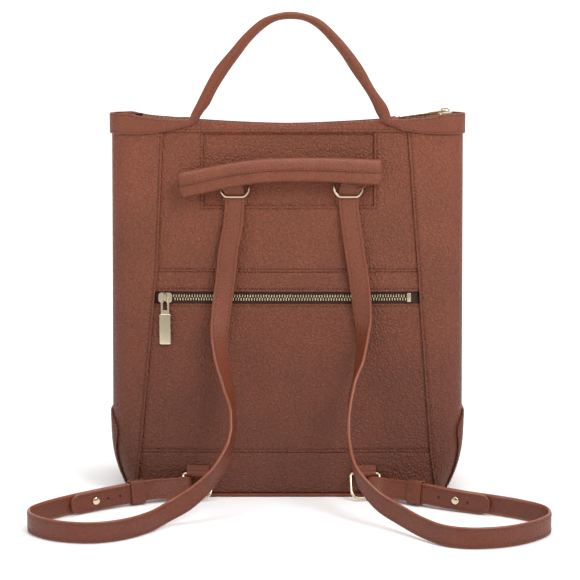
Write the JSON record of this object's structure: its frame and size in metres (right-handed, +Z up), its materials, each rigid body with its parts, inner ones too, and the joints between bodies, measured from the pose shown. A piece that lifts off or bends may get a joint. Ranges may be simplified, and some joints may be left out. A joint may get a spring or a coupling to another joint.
{
  "type": "convertible backpack",
  "caption": "Slim upright leather bag with a top handle, a zipped pocket and a pair of loose shoulder straps, standing with the straps looped on the floor.",
  "frame": {"origin": "middle of the bag's bottom face, on the floor", "axes": "+Z up, -Y out of the strap side, X along the bag's width"},
  "size_m": [0.4659, 0.2883, 0.457],
  "materials": {
    "leather": "pebbled, satin",
    "pale_gold": "polished pale gold plating",
    "zip_metal": "silvery gold metal",
    "zip_tape": "woven dark brown tape"
  },
  "bodies": {
    "bag": {"back_upper_panel": "leather", "back_zip_band": "leather", "back_lower_panel": "leather", "back_base_strip": "leather", "front_centre_panel": "leather", "front_base_strip": "leather", "back_window_panel": "leather", "left_side_panel": "leather", "right_side_panel": "leather", "left_corner_patch": "leather", "right_corner_patch": "leather", "base_panel": "leather", "back_centre_band": "leather", "front_centre_band": "leather", "back_handle": "leather", "front_handle": "leather", "back_top_gusset": "leather", "front_top_gusset": "leather", "top_zip_tape": "zip_tape", "top_zip_teeth": "zip_metal", "top_zip_end": "zip_metal", "pocket_zip_tape": "zip_tape", "pocket_zip_teeth": "zip_metal", "pocket_zip_stop": "zip_metal", "pocket_slider": "pale_gold", "top_slider": "pale_gold", "left_top_ring": "pale_gold", "right_top_ring": "pale_gold", "left_top_chape": "leather", "right_top_chape": "leather", "left_low_ring": "pale_gold", "right_low_ring": "pale_gold", "left_low_chape": "leather", "right_low_chape": "leather", "shoulder_pad": "leather", "left_strap": "leather", "right_strap": "leather", "left_keeper": "leather", "right_keeper": "leather", "left_stud": "pale_gold", "right_stud": "pale_gold"},
    "pocket_pull": {"pocket_puller": "pale_gold"},
    "top_pull": {"top_puller": "pale_gold"}
  },
  "joints": [
    {"name": "pocket_puller_hinge", "type": "hinge", "parent": "bag", "child": "pocket_pull", "pos_m": [-0.11602, -0.04458, 0.18939], "axis": [-0.9995, 0.0314, 0], "range_deg": [0, 150]},
    {"name": "top_puller_hinge", "type": "hinge", "parent": "bag", "child": "top_pull", "pos_m": [0.15067, 0, 0.36358], "axis": [0, 1, 0], "range_deg": [0, 150]}
  ]
}
